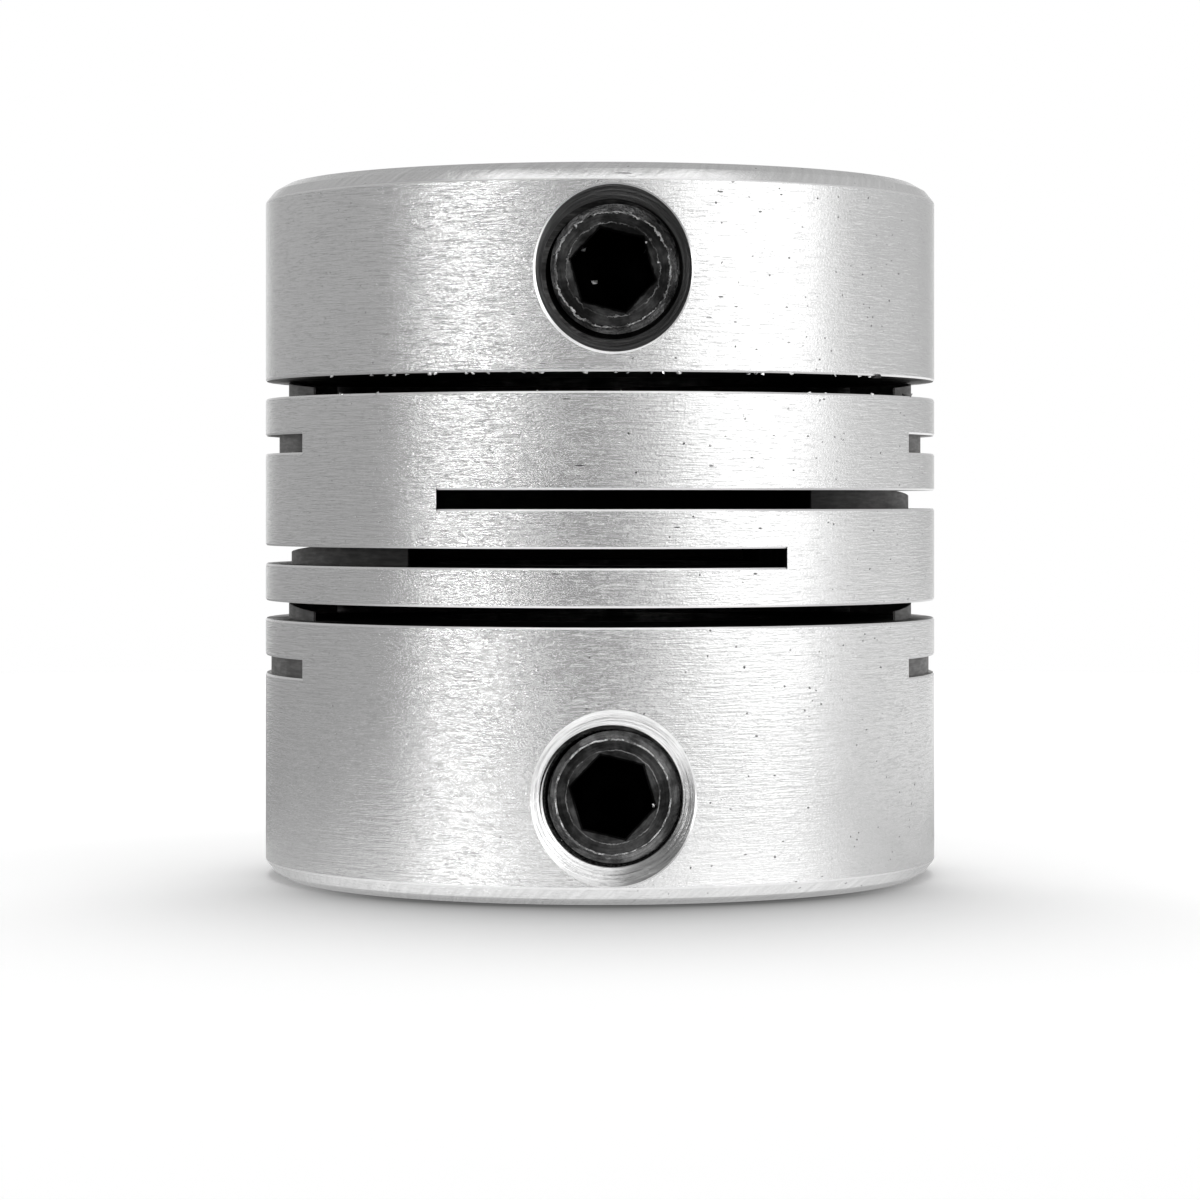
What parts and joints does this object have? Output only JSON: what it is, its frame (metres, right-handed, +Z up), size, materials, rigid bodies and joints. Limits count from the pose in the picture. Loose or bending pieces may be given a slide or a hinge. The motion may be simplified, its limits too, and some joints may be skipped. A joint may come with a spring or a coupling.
{
  "type": "slit flexible shaft coupling",
  "caption": "Flexible shaft coupling turned from one aluminium bar: parallel slits from alternating sides between two bored hubs, each with a hex socket set screw.",
  "frame": {"origin": "on the bore axis, at the end face of the lower hub", "axes": "+Z up the bore axis, from the lower hub to the upper one; the set screws face -Y; +X to the right seen from the screws"},
  "size_m": [0.025, 0.025, 0.0256],
  "materials": {
    "turned_aluminium": "fine turned satin with faint turning lines",
    "black_oxide_steel": "black oxide, slightly oily"
  },
  "bodies": {
    "body": {"coupling_body": "turned_aluminium"},
    "lower_screw": {"lower_set_screw": "black_oxide_steel"},
    "upper_screw": {"upper_set_screw": "black_oxide_steel"}
  },
  "joints": [
    {"name": "lower_screw_travel", "type": "slide", "parent": "body", "child": "lower_screw", "axis": [0, 1, 0], "range_m": [-0.0008, 0.0016]},
    {"name": "upper_screw_travel", "type": "slide", "parent": "body", "child": "upper_screw", "axis": [0, 1, 0], "range_m": [-0.0008, 0.0016]}
  ]
}
